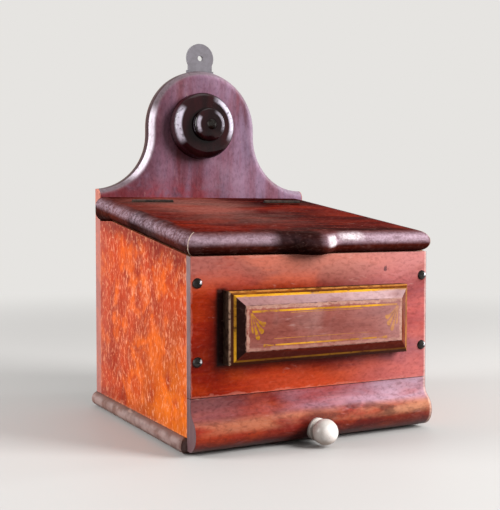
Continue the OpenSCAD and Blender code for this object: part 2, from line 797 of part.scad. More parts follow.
module drawer_left_side() { drawer_side(-1); }
module drawer_right_side() { drawer_side(1); }
module drawer_back() {
    color(pale_wood) difference() {
        x = dr_half - drawer_t;
        slab([-x, dr_back - drawer_t, dr_floor_top], [x, dr_back, dr_high]);
        at_drawer_side_nails() nail_hole(drawer_nail_l);
        at_drawer_base_nails() nail_hole(drawer_nail_l);
    }
}
module drawer_bottom() {
    color(pale_wood) difference() {
        slab([-bottom_half, dr_front_back - drawer_groove, dr_floor], [bottom_half, dr_back, dr_floor_top]);
        at_drawer_base_nails() nail_hole(drawer_nail_l);
    }
}
module drawer_nails() {
    color(iron) {
        at_drawer_side_nails() nail(drawer_nail_l);
        at_drawer_base_nails() nail(drawer_nail_l);
    }
}

// Turned knob with a collar that is let into the roll, and the iron stud in its middle
module drawer_knob() {
    collar_edge = knob_collar_t / 4;
    color(bone) to_front([knob_x, y_knob_seat, knob_h]) difference() {
        rotate_extrude() {
            square([knob_collar_d / 2 - collar_edge, knob_collar_t]);
            square([knob_collar_d / 2, knob_collar_t - collar_edge]);
            translate([knob_collar_d / 2 - collar_edge, knob_collar_t - collar_edge])
                circle(r = collar_edge);
            square([knob_neck_d / 2, knob_reach]);
            intersection() {
                translate([0, knob_reach]) circle(d = knob_d);
                square([knob_d, far]);
            }
        }
        translate([0, 0, -1]) cylinder(d = stud_d + 2 * glue_fit, h = knob_reach + 1);
    }
}
module knob_stud() {
    color(iron) to_front([knob_x, y_knob_seat, knob_h]) translate([0, 0, -stud_in])
        cylinder(d = stud_d, h = stud_in + knob_reach - glue_fit);
}

backboard();
left_side();
right_side();
front_board();
bottom_board();
salt_floor();
hinge_rail();
name_block();
name_block_screws();
front_board_screws();
back_nails();
base_nails();
rail_screws();
boss();
boss_screw();
hanging_plate();
hanging_plate_screws();
left_rail_leaf();
right_rail_leaf();
rail_leaf_screws();
left_hinge_pin();
right_hinge_pin();
lid_board();
left_lid_leaf();
right_lid_leaf();
lid_leaf_screws();
drawer_front();
drawer_left_side();
drawer_right_side();
drawer_back();
drawer_bottom();
drawer_nails();
drawer_knob();
knob_stud();
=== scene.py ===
"""Looks of a wooden salt box with a hinged lid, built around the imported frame."""

import logging
import math
from dataclasses import dataclass, field, replace
from enum import Enum
from functools import reduce
from typing import Optional, Sequence, Union

import bmesh
import bpy
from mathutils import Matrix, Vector


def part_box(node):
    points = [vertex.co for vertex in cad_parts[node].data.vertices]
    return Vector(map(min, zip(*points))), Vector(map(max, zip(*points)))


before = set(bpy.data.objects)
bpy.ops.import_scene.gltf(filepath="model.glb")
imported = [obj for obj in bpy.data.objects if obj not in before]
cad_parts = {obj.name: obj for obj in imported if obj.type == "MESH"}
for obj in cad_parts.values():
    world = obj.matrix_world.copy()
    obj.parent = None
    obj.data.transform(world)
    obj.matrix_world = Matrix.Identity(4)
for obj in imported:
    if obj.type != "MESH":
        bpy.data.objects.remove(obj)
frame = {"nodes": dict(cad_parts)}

LOG = logging.getLogger("salt_box")
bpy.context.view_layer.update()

MM = 0.001
# the case: half of its width, its face, the front board's upper edge, and the slope of the lid
HALF_WIDTH = 100 * MM
Y_FRONT = -100 * MM
Z_FRONT = 137 * MM
SLOPE = math.radians(8.2)
# the block on the front: halves of its width and height, and the height of its middle
BLOCK_HALF_WIDTH = 75.1 * MM
BLOCK_HALF_HEIGHT = 25.6 * MM
BLOCK_MIDDLE = 87.6 * MM

Material = bpy.types.Material
Socket = bpy.types.NodeSocket
Value = Union[Socket, float]
Factor = Union[Value, tuple]


class Axis(Enum):
    """The three directions of the box, also those in which fibres run."""

    ACROSS = 0
    DEPTH = 1
    UP = 2


def linear(code: str) -> tuple:
    """Turns a colour as it looks on a screen into light values.

    Args:
        code: Six hexadecimal digits, two each for red, green and blue.

    Returns:
        Four numbers, the last one being full cover.
    """
    parts = [int(code[i : i + 2], 16) / 255 for i in (0, 2, 4)]
    light = [p / 12.92 if p <= 0.04045 else ((p + 0.055) / 1.055) ** 2.4 for p in parts]
    return (*light, 1.0)


@dataclass(frozen=True)
class Look:
    """What a finish gives to a surface: its colour, its roughness and its relief in metres."""

    colour: Socket
    rough: Value
    height: Value


class Tree:
    """A node tree, with short calls for its nodes."""

    def __init__(self, owner: bpy.types.ID) -> None:
        """Empties the tree of a material or a world.

        Args:
            owner: The material or the world.
        """
        owner.use_nodes = True
        self.tree = owner.node_tree
        self.tree.nodes.clear()

    def node(self, kind: str, inputs: Optional[dict] = None, **settings: object) -> bpy.types.Node:
        """Adds one node.

        Args:
            kind: Type of the node.
            inputs: What feeds its inputs, by their names or numbers.
            settings: The node's properties.

        Returns:
            The node.
        """
        made = self.tree.nodes.new(kind)
        for key, value in settings.items():
            setattr(made, key, value)
        for key, value in (inputs or {}).items():
            self.feed(value, made.inputs[key])
        return made

    def feed(self, value: object, socket: Socket) -> None:
        """Links a socket to another, or sets its value.

        Args:
            value: A socket, a number, a colour or a vector.
            socket: The input that takes it.
        """
        if isinstance(value, Socket):
            self.tree.links.new(value, socket)
        else:
            socket.default_value = value

    def maths(self, action: str, *values: Value) -> Socket:
        """Joins numbers with one of the Math node's actions, such as ADD."""
        return self.node("ShaderNodeMath", dict(enumerate(values)), operation=action).outputs[0]

    def fold(self, action: str, values: Sequence[Value]) -> Value:
        """Joins any count of numbers, two at a time."""
        return reduce(lambda one, other: self.maths(action, one, other), values)

    def total(self, *values: Value) -> Value:
        """Adds up any count of numbers."""
        return self.fold("ADD", values)

    def product(self, *values: Value) -> Value:
        """Multiplies any count of numbers."""
        return self.fold("MULTIPLY", values)

    def either(self, *values: Value) -> Value:
        """Keeps the largest of any count of numbers."""
        return self.fold("MAXIMUM", values)

    def least(self, *values: Value) -> Value:
        """Keeps the smallest of any count of numbers."""
        return self.fold("MINIMUM", values)

    def seen(self) -> Socket:
        """Is 1 for rays from the camera, from gloss and through glass."""
        path = self.node("ShaderNodeLightPath").outputs
        return self.either(path["Is Camera Ray"], path["Is Glossy Ray"], path["Is Transmission Ray"])

    def mixed(self, share: Socket, lower: Socket, upper: Socket) -> Socket:
        """Mixes two shaders by a share of the upper one."""
        return self.node("ShaderNodeMixShader", {0: share, 1: lower, 2: upper}).outputs[0]


class Shader(Tree):
    """The tree of one finish, with calls for the patterns and colours that the finishes use."""

    coat_rough = 0.12

    def __init__(self, name: str) -> None:
        """Starts a material with one shader and its output.

        Args:
            name: Name of the material.
        """
        self.material = bpy.data.materials.new(name)
        super().__init__(self.material)
        self.surface = self.node("ShaderNodeBsdfPrincipled")
        self.output = self.node("ShaderNodeOutputMaterial", {0: self.surface.outputs[0]})
        self.place = self.node("ShaderNodeTexCoord").outputs["Object"]

    def less(self, first: Value, second: Value) -> Socket:
        """Takes the second number from the first."""
        return self.maths("SUBTRACT", first, second)

    def inverse(self, value: Value) -> Socket:
        """Turns a share into what is left of the whole."""
        return self.less(1.0, value)

    def size(self, value: Value) -> Socket:
        """Drops the sign of a number."""
        return self.maths("ABSOLUTE", value)

    def away(self, first: Value, second: Value, weight: float = 1.0) -> Socket:
        """Gives the length of a step from its two legs, the first of which may weigh more or less."""
        squares = (self.product(first, first, weight), self.product(second, second))
        return self.maths("SQRT", self.total(*squares))

    def rise(self, value: Value, low: float, high: float) -> Socket:
        """Goes smoothly from 0 at low to 1 at high; low may be above high.

        Args:
            value: The number that is looked at.
            low: Where the result is 0.
            high: Where the result is 1.

        Returns:
            The result's socket.
        """
        ends = (1.0, 0.0) if low > high else (0.0, 1.0)
        inputs = dict(enumerate((value, min(low, high), max(low, high), *ends)))
        return self.node("ShaderNodeMapRange", inputs, interpolation_type="SMOOTHSTEP").outputs[0]

    def band(self, value: Value, middle: float, half: float, soft: float) -> Socket:
        """Is 1 within half of the middle, and falls to 0 over the soft edge."""
        return self.rise(self.size(self.less(value, middle)), half + soft, half)

    def mask(self, *factors: Factor) -> Value:
        """Multiplies numbers, sockets, and rises that are written as their value, low and high."""
        return self.product(*(self.rise(*f) if isinstance(f, tuple) else f for f in factors))

    def axes(self, place: Optional[Socket] = None) -> list:
        """Gives the three coordinates of a place as sockets."""
        return list(self.node("ShaderNodeSeparateXYZ", {0: place or self.place}).outputs)

    def ends(self, outer: float, inner: float) -> Socket:
        """Is 1 on both ends of a board as wide as the case, and 0 from an inner distance on."""
        return self.rise(self.size(self.axes()[Axis.ACROSS.value]), HALF_WIDTH - inner, HALF_WIDTH - outer)

    def noise(
        self,
        scale: float,
        detail: float = 3,
        warp: float = 0,
        seed: float = 0,
        grain: Axis = Axis.UP,
        factor: float = 1.0,
        place: Optional[Socket] = None,
    ) -> Socket:
        """Cloudy values round one half.

        Args:
            scale: How many clouds fit in a metre.
            detail: Count of finer layers.
            warp: How far the clouds are pulled about.
            seed: A number that picks another cut through the clouds.
            grain: Which way they are drawn out.
            factor: How many times longer than wide they become.
            place: Coordinates, where they aren't the box's own.

        Returns:
            The value's socket.
        """
        place = place or self.place
        if factor != 1.0:
            scales = [1.0, 1.0, 1.0]
            scales[grain.value] = 1 / factor
            place = self.node("ShaderNodeMapping", {"Vector": place, "Scale": scales}).outputs[0]
        inputs = {"Vector": place, "W": seed, "Scale": scale, "Detail": detail, "Distortion": warp}
        return self.node("ShaderNodeTexNoise", inputs, noise_dimensions="4D").outputs["Fac"]

    def blend(self, share: Value, lower: object, upper: object, mode: str = "MIX") -> Socket:
        """Lays one colour over another.

        Args:
            share: How much of the upper colour covers the lower.
            lower: Colour below, as a socket or a code.
            upper: Colour above, as a socket or a code.
            mode: Name of the mixing mode.

        Returns:
            The colour's socket.
        """
        lower, upper = (linear(side) if isinstance(side, str) else side for side in (lower, upper))
        inputs = {0: share, 6: lower, 7: upper}
        return self.node("ShaderNodeMix", inputs, data_type="RGBA", blend_type=mode).outputs[2]

    def coated(self, colour: Socket, *coats: tuple) -> Socket:
        """Lays coats over a colour.

        Args:
            colour: Colour below.
            coats: For each coat its colour and then its factors, as mask takes them.

        Returns:
            The colour's socket.
        """
        for upper, *factors in coats:
            colour = self.blend(self.mask(*factors), colour, upper)
        return colour

    def coats(self, look: Look, *coats: tuple) -> Look:
        """Lays coats of colour over a look, written as coated takes them."""
        return replace(look, colour=self.coated(look.colour, *coats))

    def weigh(self, share: Value, lower: Value, upper: Value) -> Socket:
        """Goes from one number to another by a share."""
        return self.node("ShaderNodeMix", {0: share, 2: lower, 3: upper}, data_type="FLOAT").outputs[0]

    def over(self, share: Value, lower: Look, upper: Look) -> Look:
        """Lays one look over another."""
        return Look(
            self.blend(share, lower.colour, upper.colour),
            self.weigh(share, lower.rough, upper.rough),
            self.weigh(share, lower.height, upper.height),
        )

    def aged(self, look: Look, grain: Axis, amount: float, seed: float, place: Optional[Socket] = None) -> Look:
        """Adds the small marks of age: crazed lacquer, pits, stains and short pale scuffs.

        Args:
            look: The look below.
            grain: Which way the marks are drawn out.
            amount: Their strength.
            seed: Picks another cut through the patterns.
            place: Coordinates, where they aren't the box's own.

        Returns:
            The aged look.
        """
        fine = self.noise(430, 5, 0.8, seed + 0.5, grain, 1.7, place)
        spots = self.noise(150, 4, 1.0, seed + 1.5, grain, 2.0, place)
        scuffs = self.noise(330, 4, 1.2, seed + 2.5, grain, 3.5, place)
        where = self.rise(self.noise(22, 2, 0.5, seed + 3.5, place=place), 0.48, 0.62)
        colour = self.blend(self.mask((fine, 0.44, 0.72), 0.8 * amount), look.colour, "805c58", "MULTIPLY")
        colour = self.blend(self.mask((fine, 0.48, 0.32), 0.5 * amount), colour, "503c38", "SCREEN")
        stain = self.mask((spots, 0.60, 0.72), where, 0.8 * amount)
        colour = self.blend(stain, colour, "603c3c", "MULTIPLY")
        pale = self.mask((scuffs, 0.64, 0.72), self.weigh(where, 0.25, 1.0))
        colour = self.coated(colour, ("d8b0a4", pale, 0.4 * amount))
        dents = (self.product(fine, -0.00004 * amount), self.product(pale, -0.00003))
        rough = self.total(look.rough, self.product(pale, 0.1))
        return Look(colour, rough, self.total(look.height, *dents))

    def close(self, look: Look, shine: float = 0.4, coat: float = 0.0, metal: float = 0.0) -> Material:
        """Sends a look to the shader.

        Args:
            look: Colour, roughness and relief.
            shine: Specular level.
            coat: Weight of the clear coat.
            metal: 1 for bare metal.

        Returns:
            The finished material.
        """
        relief = {"Strength": 1.0, "Distance": 1.0, "Height": look.height}
        ports = {
            "Base Color": look.colour,
            "Roughness": look.rough,
            "Normal": self.node("ShaderNodeBump", relief).outputs[0],
            "Specular IOR Level": shine,
            "Coat Weight": coat,
            "Coat Roughness": self.coat_rough,
            "Metallic": metal,
        }
        for name, value in ports.items():
            self.feed(value, self.surface.inputs[name])
        return self.material


@dataclass(frozen=True)
class Edges:
    """The outer planes of a board, from which its worn edges are found.

    Attributes:
        node: Name of the board's node in the frame.
        leaning: Whether its upper edge follows the slope of the lid.
    """

    node: str
    leaning: bool = False

    def nearness(self, s: Shader, width: float) -> Socket:
        """Is 1 on an edge of the board and falls to 0 at a ragged distance from it.

        Args:
            s: Tree to build in.
            width: Mean width of the worn strip, in metres.

        Returns:
            The share's socket.
        """
        tops: list = list(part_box(self.node)[1])
        axes = s.axes()
        if self.leaning:
            run = s.less(axes[Axis.DEPTH.value], Y_FRONT)
            tops[Axis.UP.value] = s.total(s.product(run, math.tan(SLOPE)), Z_FRONT)
        rows = zip(axes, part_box(self.node)[0], tops)
        gaps = [s.least(s.less(value, low), s.less(top, value)) for value, low, top in rows]
        second = s.either(s.least(gaps[0], gaps[1]), s.least(s.either(gaps[0], gaps[1]), gaps[2]))
        reach = s.mask((s.noise(160, 4, seed=3.1), 0.3, 0.75), 2 * width)
        return s.rise(s.maths("DIVIDE", second, s.total(reach, width * 0.2)), 1.0, 0.4)


@dataclass(frozen=True)
class Wood:
    """Old lacquered wood: zones of colour, streaks along the fibres, pores, flecks and worn edges.

    Attributes:
        grain: Which way the fibres run.
        deep: Colour of the dark zones.
        body: Main colour.
        warm: Colour where the lacquer is thin.
        fleck: Colour of the pale flecks and worn edges.
        warmth: Share of the warm zones.
        streaks: Strength of the dark streaks.
        flecks: Share of pale flecks.
        wear: How far the edges are worn.
        rough: Roughness of the lacquer.
        bloom: Share of the dull haze.
        longer: How many times longer than wide the flecks are.
        seed: Picks another cut through the patterns.
        figure: How many zones of colour fit in a metre.
        run: How many times longer than wide the zones are.
    """

    grain: Axis
    deep: str
    body: str
    warm: str
    fleck: str
    warmth: float
    streaks: float
    flecks: float
    wear: float
    rough: float
    bloom: float
    longer: float
    seed: float
    figure: float = 15.0
    run: float = 3.0

    def paint(self, s: Shader, edges: Optional[Edges] = None, place: Optional[Socket] = None) -> Look:
        """Builds the wood's patterns.

        Args:
            s: Tree to build in.
            edges: The board's planes, for its worn edges.
            place: Coordinates, where they aren't the box's own.

        Returns:
            The look of the wood.
        """

        def drawn(factor: float, scale: float, detail: float, warp: float, cut: float) -> Socket:
            """Builds clouds that are drawn out along the fibres."""
            return s.noise(scale, detail, warp, self.seed + cut, self.grain, factor, place)

        zones = drawn(self.run, self.figure, 4, 0.6, 0)
        heat = drawn(self.run * 0.7, self.figure * 1.5, 4, 0.8, 7)
        streak = drawn(16, 230, 5, 0.5, 2)
        fibre = drawn(26, 900, 4, 0.2, 4)
        pore = drawn(9, 1300, 2, 0.0, 5)
        blot = drawn(self.longer, 230, 7, 0.6, 6)
        scratch = drawn(self.longer * 2.5, 820, 3, 0.3, 10)
        patch = s.noise(34, 3, 0.5, self.seed + 8, place=place)
        sway = s.noise(28, 2, 0, self.seed + 9, place=place)
        limit = 0.70 - 0.18 * self.flecks
        marks = s.either(s.rise(blot, limit, limit + 0.09), s.mask((scratch, limit, limit + 0.07), 0.8))
        cover = s.mask(marks, (patch, 0.36, 0.62), min(1, self.flecks * 2))
        holes = s.mask((pore, 0.60, 0.70), 0.55)
        bloom_and_sheen = s.mask((patch, 0.45, 0.75), self.bloom)
        zoned = s.blend(s.rise(zones, 0.40, 0.60), self.deep, self.body)
        warmed = s.coated(zoned, (self.warm, (heat, 0.46, 0.66), self.warmth))
        dark = s.blend(0.75, warmed, self.deep)
        colour = s.coated(
            warmed,
            (dark, (streak, 0.5, 0.70), self.streaks),
            (self.warm, (streak, 0.46, 0.30), self.streaks * 0.45),
            (dark, (fibre, 0.45, 0.75), 0.28),
            (self.deep, holes),
            (self.fleck, bloom_and_sheen),
            (self.fleck, cover, 0.6),
        )
        dull = (s.product(bloom_and_sheen, 0.25), s.product(cover, 0.2))
        rough = s.total(s.product(streak, 0.16), self.rough - 0.08, *dull)
        relief = ((sway, 0.0006), (fibre, 0.00005), (holes, -0.00008), (cover, -0.00006))
        height = s.total(*(s.product(*part) for part in relief))
        if edges:
            wear_and_glint = s.product(edges.nearness(s, 0.0016), self.wear)
            colour, rough = s.coated(colour, (self.fleck, wear_and_glint)), s.weigh(wear_and_glint, rough, 0.5)
        return Look(colour, rough, height)


# after the four colours: warmth, streaks, flecks, wear, rough, bloom, longer, seed, figure, run
MAHOGANY_SIDE = Wood(
    Axis.UP, "982804", "b43604", "e0600a", "ec9c7c", 0.8, 0.12, 0.8, 0.4, 0.44, 0.04, 1.8, 1.0, 30.0, 1.3
)
MAHOGANY_FRONT = Wood(
    Axis.ACROSS, "6c1002", "9c2004", "c84808", "d09080", 0.5, 0.5, 0.3, 0.35, 0.38, 0.06, 5.0, 11.0, 22.0
)
MAHOGANY_CREST = Wood(
    Axis.UP, "3a1418", "5c2228", "7c3438", "9c7c88", 0.5, 0.5, 0.15, 0.6, 0.36, 0.25, 6.0, 21.0
)
MAHOGANY_LID = Wood(
    Axis.ACROSS, "240302", "540a04", "842008", "b07468", 0.5, 0.8, 0.25, 0.5, 0.40, 0.03, 10.0, 31.0
)
LID_EDGE = Wood(
    Axis.ACROSS, "220806", "48160e", "602416", "8d7374", 0.35, 0.5, 0.25, 0.4, 0.36, 0.08, 3.0, 41.0
)
MAHOGANY_DRAWER = Wood(
    Axis.ACROSS, "5c0e06", "901e0c", "aa4018", "c09498", 0.5, 0.5, 0.35, 0.4, 0.40, 0.10, 4.0, 51.0, 24.0
)
END_GRAIN = Wood(
    Axis.UP, "5c4144", "867070", "947a80", "a898a0", 0.4, 0.5, 0.3, 0.2, 0.55, 0.3, 1.2, 61.0
)
BASE_EDGE = Wood(
    Axis.DEPTH, "3a221e", "66443c", "8a5844", "a88c80", 0.4, 0.6, 0.5, 0.6, 0.5, 0.3, 3.0, 71.0
)
RAW_WOOD = Wood(
    Axis.UP, "5a3620", "825438", "986842", "c0a084", 0.5, 0.9, 0.2, 0.4, 0.62, 0.08, 4.0, 81.0, 14.0, 7.0
)
RAW_FLAT = replace(RAW_WOOD, grain=Axis.ACROSS, deep="5c3822", body="885a3c", warm="9c6e48", seed=91.0)
RAW_DEPTH = replace(RAW_FLAT, grain=Axis.DEPTH, seed=95.0)
BOSS_WOOD = Wood(
    Axis.UP, "120406", "260a0e", "3c1012", "503438", 0.4, 0.4, 0.1, 0.2, 0.22, 0.06, 2.0, 101.0
)
BLOCK_RIM = Wood(
    Axis.ACROSS, "4a200a", "84440e", "a8600e", "b08048", 0.5, 0.5, 0.3, 0.7, 0.36, 0.10, 4.0, 111.0
)
BLOCK_BEVEL = Wood(
    Axis.ACROSS, "50140a", "74301e", "8c4630", "b08070", 0.5, 0.5, 0.3, 0.6, 0.34, 0.15, 5.0, 121.0
)
BLOCK_FIELD = Wood(
    Axis.ACROSS, "602a26", "8c4c42", "a46050", "b4908a", 0.4, 0.4, 0.35, 0.9, 0.42, 0.30, 5.0, 131.0
)


def bare_board(node: str, wood: Wood) -> Material:
    """Builds the finish of a board of one wood."""
    s = Shader(node + "_finish")
    return s.close(wood.paint(s, Edges(node)), 0.3)


@dataclass(frozen=True)
class Metal:
    """Worn metal with spots and fine scratches.

    Attributes:
        bright: Colour of the rubbed metal.
        dull: Colour of the tarnish.
        rough: Roughness.
        spots: Share of the tarnish.
        metallic: 1 for bare metal, less for a thick skin of oxide.
    """

    bright: str
    dull: str
    rough: float
    spots: float
    metallic: float = 1.0

    def paint(self, s: Shader) -> Look:
        """Builds the metal's patterns.

        Args:
            s: Tree to build in.

        Returns:
            The look of the metal.
        """
        cloud = s.noise(240, 5, 0.4, 2.0)
        fine = s.noise(1900, 3, 0.0, 4.0)
        scratch = s.noise(1600, 3, 0.2, 6.0, Axis.ACROSS, 14)
        tarnish = s.mask((s.total(cloud, s.product(fine, 0.4)), 0.6, 0.82), self.spots)
        colour = s.blend(tarnish, self.bright, self.dull)
        colour = s.coated(colour, (self.bright, (scratch, 0.62, 0.72), 0.3))
        rough = s.total(s.product(tarnish, 0.25), s.product(fine, 0.12), self.rough - 0.06)
        return Look(colour, rough, s.total(s.product(cloud, 0.00003), s.product(fine, 0.00001)))

    def material(self, name: str) -> Material:
        """Builds a material of the metal."""
        s = Shader(name)
        return s.close(self.paint(s), 0.5, 0.0, self.metallic)


BLACK_IRON = Metal("3c3937", "1c1614", 0.32, 0.8)
OLD_ZINC = Metal("726e74", "625e62", 0.50, 0.5, 0.0)
AGED_BRASS = Metal("2e1c12", "140a06", 0.50, 0.9, 0.2)


@dataclass
class Carcase:
    """The fixed box: boards, floor, rail and their fastenings.

    Attributes:
        y_back: Front of the back board.
        y_wall: Back of the back board.
        seat: Height of the level seats under the rail.
        base: Thickness of the bottom board.
        head: Width of the heads of the front's screws.
        stain: Place of a dark stain on the front board, along X and Z.
    """

    y_back: float = 88 * MM
    y_wall: float = 100 * MM
    seat: float = 159.9 * MM
    base: float = 12 * MM
    head: float = 7.4 * MM
    stain: tuple = (61.2 * MM, 124.7 * MM)

    def side(self, node: str, sign: int) -> Material:
        """Builds the finish of a side board: lacquer outside, bare wood inside.

        Args:
            node: Name of the board's node.
            sign: -1 for the left board and 1 for the right one.

        Returns:
            The material.
        """
        s = Shader(node + "_finish")
        x, y, z = s.axes()
        mottle = s.noise(60, 4, 0.4, 5.0)
        grit = s.noise(400, 5, 1.0, 17.0, Axis.UP, 2.0)
        under_lid = s.less(s.total(s.product(s.less(y, Y_FRONT), math.tan(SLOPE)), Z_FRONT + 3 * MM), z)
        shade = s.mask((s.total(under_lid, s.product(mottle, -0.02)), 0.012, -0.008), 0.8)
        foot = s.mask((s.less(z, s.product(mottle, 0.02)), 0.02, 0.0), 0.6)
        look = s.coats(
            MAHOGANY_SIDE.paint(s, Edges(node, True)),
            # painted shade under the lid's overhang, and darker towards the foot
            ("6e1a10", s.either(shade, foot)),
            # dull near the wall, bright orange low at the front, flecks partly scuffs, partly painted glints
            ("985248", (s.total(y, s.product(mottle, 0.05)), 0.075, 0.125), 0.45),
            ("f07c10", (z, 0.11, 0.02), (y, 0.05, -0.08), (mottle, 0.25, 0.55), 0.5),
            ("f4ac84", (grit, 0.54, 0.64), 0.38),
        )
        inside = s.rise(s.product(x, sign), HALF_WIDTH - 0.0008, HALF_WIDTH - 0.002)
        return s.close(s.over(inside, s.aged(look, Axis.UP, 0.22, 14.0), RAW_DEPTH.paint(s)), 0.06)

    def front(self) -> Material:
        """Builds the finish of the front board, whose ends are bare grey end grain.

        Returns:
            The material.
        """
        s = Shader("front_board_finish")
        x, y, z = s.axes()
        cloud = s.noise(26, 4, 0.8, 3.3, Axis.ACROSS, 2.5)
        ink = s.noise(600, 3, 0.5, 9.2)
        beside = s.less(s.size(x), BLOCK_HALF_WIDTH)
        level = s.less(s.size(s.less(z, BLOCK_MIDDLE)), BLOCK_HALF_HEIGHT)
        block_gap = s.total(s.either(beside, level), s.product(cloud, 0.010))
        to_stain = s.away(s.less(x, self.stain[0]), s.less(z, self.stain[1]), 2.5)
        look = s.coats(
            MAHOGANY_FRONT.paint(s, Edges("front_board", True)),
            # haze along the top that is partly painted sheen, thin lacquer along the foot
            ("cc8c7c", (z, 0.106, 0.134), (cloud, 0.25, 0.55), s.weigh(s.rise(x, -0.1, 0.05), 0.35, 0.6)),
            ("c85430", (s.total(z, s.product(cloud, 0.012)), 0.068, 0.054), (x, -0.09, -0.02), 0.4),
            # painted sheen on the right, painted shade on the left
            ("c08088", (x, 0.0, 0.095), (cloud, 0.2, 0.6), 0.42),
            ("600e02", (x, -0.04, -0.09), (z, 0.128, 0.105), (cloud, 0.2, 0.55), 0.5),
            # dirt and painted shade round the block
            ("5a0e04", (block_gap, 0.013, 0.003), (x, 0.06, -0.02), 0.6),
            # the hazy corner on the left, the painted highlight on the right arris and the stain on the right
            ("8a5854", (x, -0.045, -0.09), (z, 0.112, 0.130), (cloud, 0.2, 0.5), 0.5),
            ("e0bcb4", (x, HALF_WIDTH - 0.0022, HALF_WIDTH - 0.0010), (cloud, 0.3, 0.5), 0.6),
            ("3a2a34", (s.total(to_stain, s.product(s.less(ink, 0.5), 0.009)), 0.0026, 0.0018), 0.7),
            # painted shadow beside the block's left end
            ("080202", (x, -0.0815, -0.0790), (x, -0.070, -0.075), (level, 0.003, 0.0), 0.93),
        )
        ends = s.ends(0.2 * MM, 0.6 * MM)
        outer = s.over(ends, s.aged(look, Axis.ACROSS, 0.4, 24.0), END_GRAIN.paint(s))
        inner = s.mask((y, Y_FRONT + 0.001, Y_FRONT + 0.003), s.inverse(ends))
        return s.close(s.over(inner, outer, RAW_FLAT.paint(s)), 0.12)

    def back(self) -> Material:
        """Builds the finish of the back board: a lacquered crest over a bare board.

        Returns:
            The material.
        """
        s = Shader("backboard_finish")
        x, y, z = s.axes()
        rub_and_sheen = s.noise(120, 4, 0.3, 8.0)
        sheen = s.noise(60, 4, 0.6, 8.5, Axis.UP, 6.0)
        lilac_sheen = s.mask((s.total(x, s.product(z, 0.3)), 0.02, 0.12), (sheen, 0.25, 0.6), 0.38)
        flank = s.mask((x, -0.035, -0.045), s.band(z, 0.228, 0.022, 0.014))
        round_over = s.rise(y, self.y_back + 0.0002, self.y_back + 0.0016)
        crown = s.band(y, self.y_back + 0.0026, 0.0014, 0.0012)
        look = s.coats(
            MAHOGANY_CREST.paint(s),
            # painted lilac sheen over the crest, strongest towards the right
            ("b09cbc", s.either(lilac_sheen, s.mask((sheen, 0.25, 0.6), 0.2))),
            ("8a2428", (z, 0.205, 0.176), (x, 0.05, -0.03), (rub_and_sheen, 0.3, 0.6), 0.6),
            ("4c161a", (s.total(x, s.product(z, -0.25)), -0.094, -0.112), (rub_and_sheen, 0.2, 0.5), 0.55),
            # painted shade on the rounded front edge of the crest, and a painted highlight on its left flank
            ("2c0a0c", round_over, s.weigh(s.rise(x, 0.03, -0.01), 0.3, 0.9)),
            ("ece0ec", crown, (rub_and_sheen, 0.15, 0.40), s.weigh(flank, 0.12, 1.0)),
        )
        seats = s.rise(z, self.seat + 0.003, self.seat + 0.001)
        bare = s.either(seats, s.rise(y, self.y_wall - 0.001, self.y_wall))
        look = s.over(bare, s.aged(look, Axis.UP, 0.4, 34.0), RAW_WOOD.paint(s))
        # the board's ends are finished like the sides, and rubbed
        side = s.aged(s.coats(MAHOGANY_SIDE.paint(s), ("a8746c", 0.7)), Axis.UP, 0.3, 14.0)
        return s.close(s.over(s.ends(0.3 * MM, 0.8 * MM), look, side), 0.15)

    def bottom(self) -> Material:
        """Builds the finish of the bottom board: rubbed grey edges with a painted highlight, a bare underside.

        Returns:
            The material.
        """
        s = Shader("bottom_board_finish")
        z = s.axes()[Axis.UP.value]
        rub_and_sheen = s.noise(90, 4, 0.4, 9.0)
        # the crown of the rounded edge is rubbed and carries a painted highlight
        crown = s.band(z, self.base * 0.55, 0.002, 0.003)
        edge = s.coats(BASE_EDGE.paint(s), ("a08a86", crown, (rub_and_sheen, 0.35, 0.65), 0.6))
        return s.close(s.over(s.rise(z, 0.0008, 0.0002), edge, RAW_DEPTH.paint(s)), 0.3)

    def front_screws(self) -> Material:
        """Builds the front's black screws, with a painted highlight on the right of each head.

        Returns:
            The material.
        """
        s = Shader("front_screw_iron")
        axes = s.axes()
        low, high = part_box("front_board_screws")
        legs = []
        for i, shift in ((Axis.ACROSS.value, 1.9 * MM), (Axis.UP.value, 0.7 * MM)):
            middle = (low[i] + high[i]) / 2
            far = s.rise(axes[i], middle - 0.001, middle + 0.001)
            nearest = s.weigh(far, low[i] + self.head / 2, high[i] - self.head / 2)
            legs.append(s.less(s.less(axes[i], nearest), shift))
        # a painted highlight on the right of each head
        glint = (s.away(legs[1], legs[0], 0.5), 0.0013, 0.0005)
        heads = (axes[Axis.DEPTH.value], Y_FRONT, Y_FRONT - 0.0006)
        return s.close(s.coats(BLACK_IRON.paint(s), ("f0f0f6", glint, heads)), 0.5, 0.0, 0.8)

    def dress(self) -> dict:
        """Gives each node of the box its material.

        Returns:
            The materials by node.
        """
        iron = BLACK_IRON.material("black_iron")
        return {
            "left_side": self.side("left_side", -1),
            "right_side": self.side("right_side", 1),
            "front_board": self.front(),
            "backboard": self.back(),
            "bottom_board": self.bottom(),
            "salt_floor": bare_board("salt_floor", RAW_FLAT),
            "front_board_screws": self.front_screws(),
            "name_block_screws": iron,
            "back_nails": iron,
            "base_nails": iron,
            "rail_screws": iron,
        }


